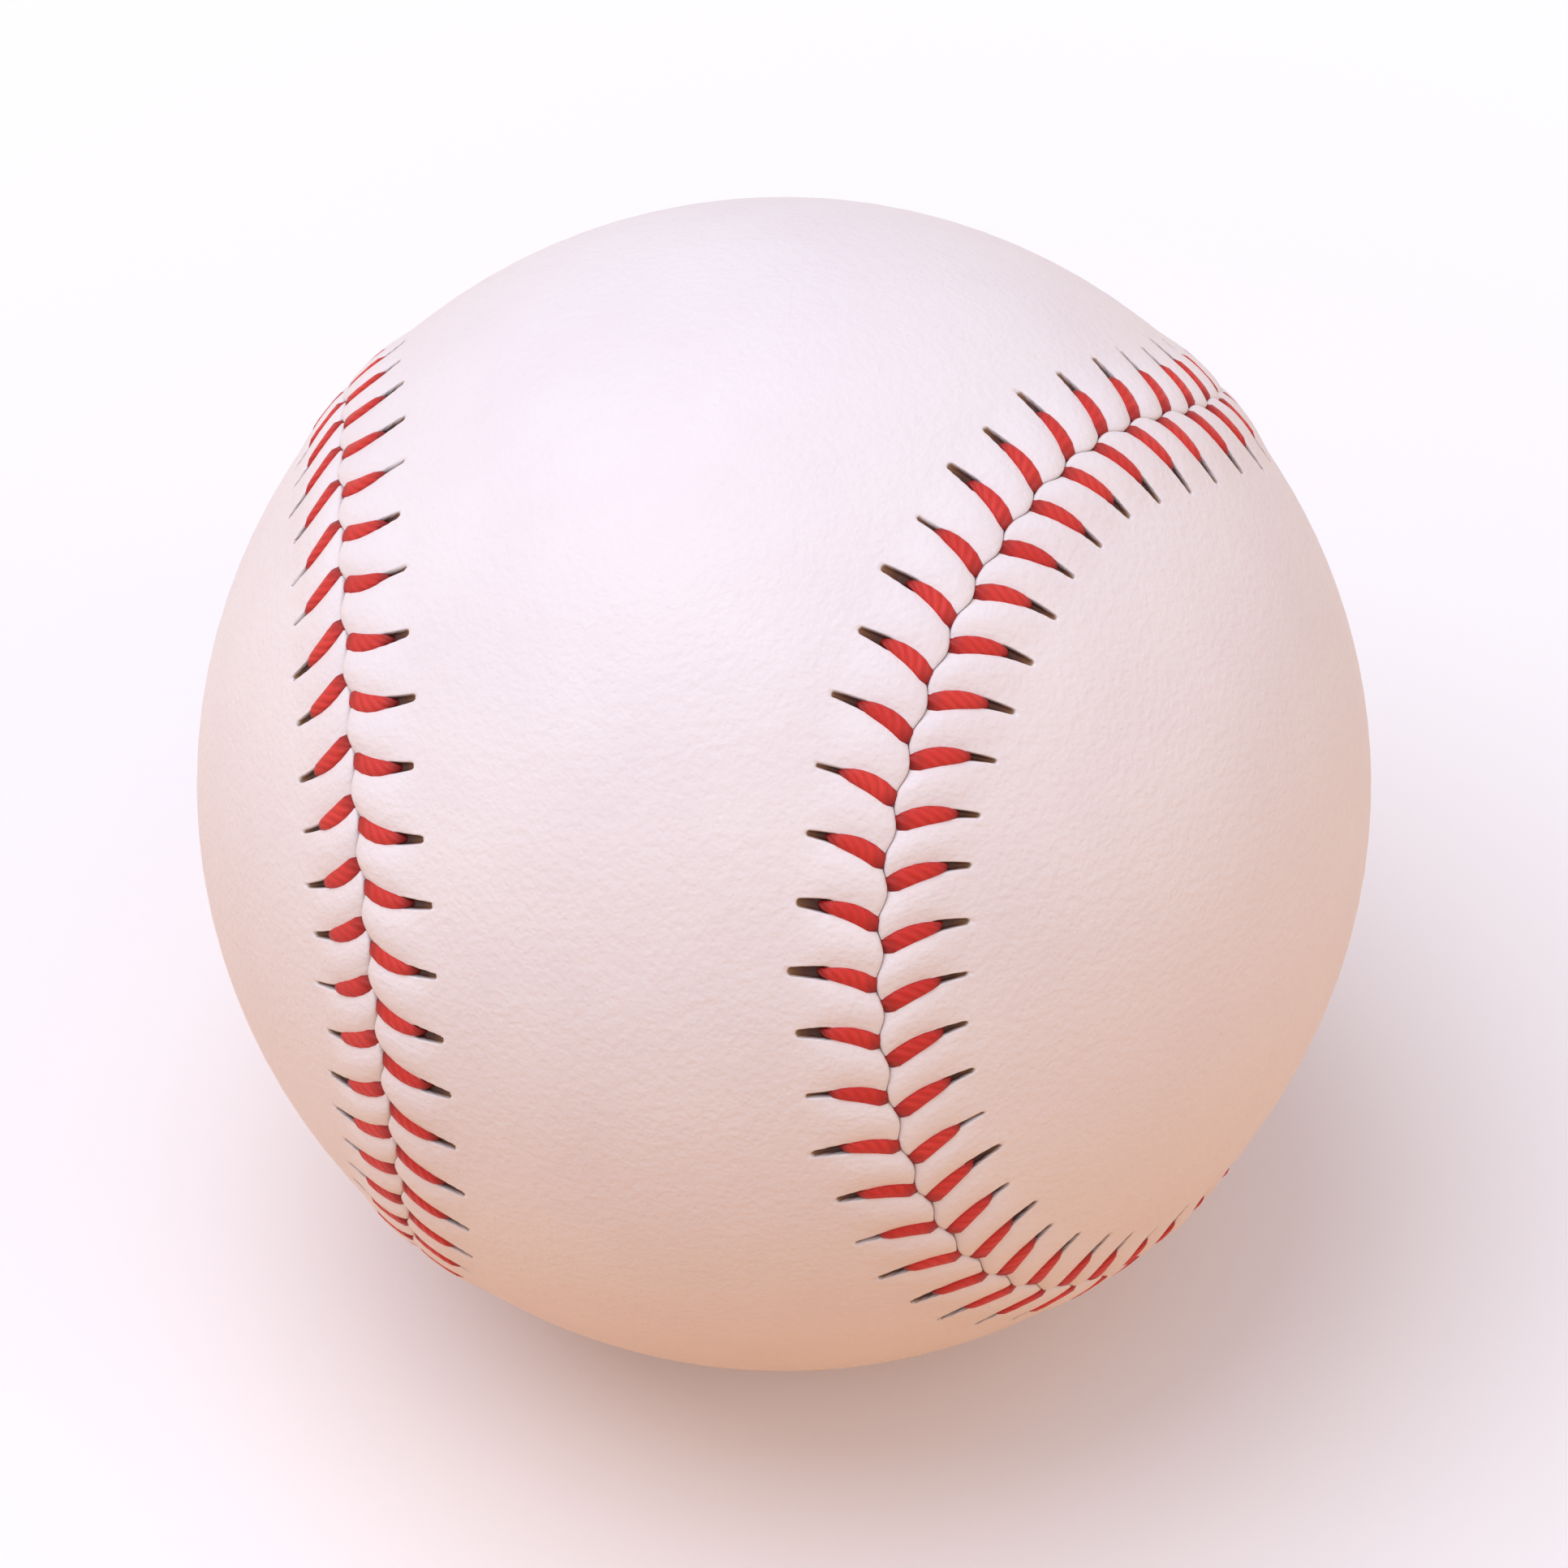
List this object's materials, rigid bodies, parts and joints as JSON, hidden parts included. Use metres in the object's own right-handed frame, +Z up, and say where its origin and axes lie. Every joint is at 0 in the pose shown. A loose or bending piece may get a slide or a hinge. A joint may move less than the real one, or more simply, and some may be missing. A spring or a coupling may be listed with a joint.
{
  "type": "baseball",
  "caption": "Hand-sewn leather baseball with a raised figure-eight seam and herringbone stitching over a wound yarn body and a cushioned cork core.",
  "frame": {"origin": "centre of the ball", "axes": "+Z up as the ball lies in the picture, +Y away from the picture's viewer, +X to the viewer's right"},
  "size_m": [0.0734, 0.0746, 0.0734],
  "materials": {
    "leather": "smooth tanned white leather",
    "thread": "waxed cotton thread",
    "cement": "dried rubber cement",
    "cotton": "fine wound yarn",
    "grey_wool": "wound wool yarn",
    "white_wool": "wound wool yarn",
    "red_rubber": "moulded",
    "black_rubber": "moulded",
    "cork": "pressed cork and rubber granules"
  },
  "bodies": {
    "root": {"cork_core": "cork", "inner_shell_upper": "black_rubber", "inner_shell_lower": "black_rubber", "shell_gasket": "red_rubber", "outer_shell_upper": "red_rubber", "outer_shell_lower": "red_rubber", "four_ply_winding": "grey_wool", "white_wool_winding": "white_wool", "grey_wool_winding": "grey_wool", "cotton_winding": "cotton", "cement_coat": "cement", "cover_panel_a": "leather", "cover_panel_b": "leather", "thread_run_a": "thread", "thread_run_b": "thread"}
  },
  "joints": []
}
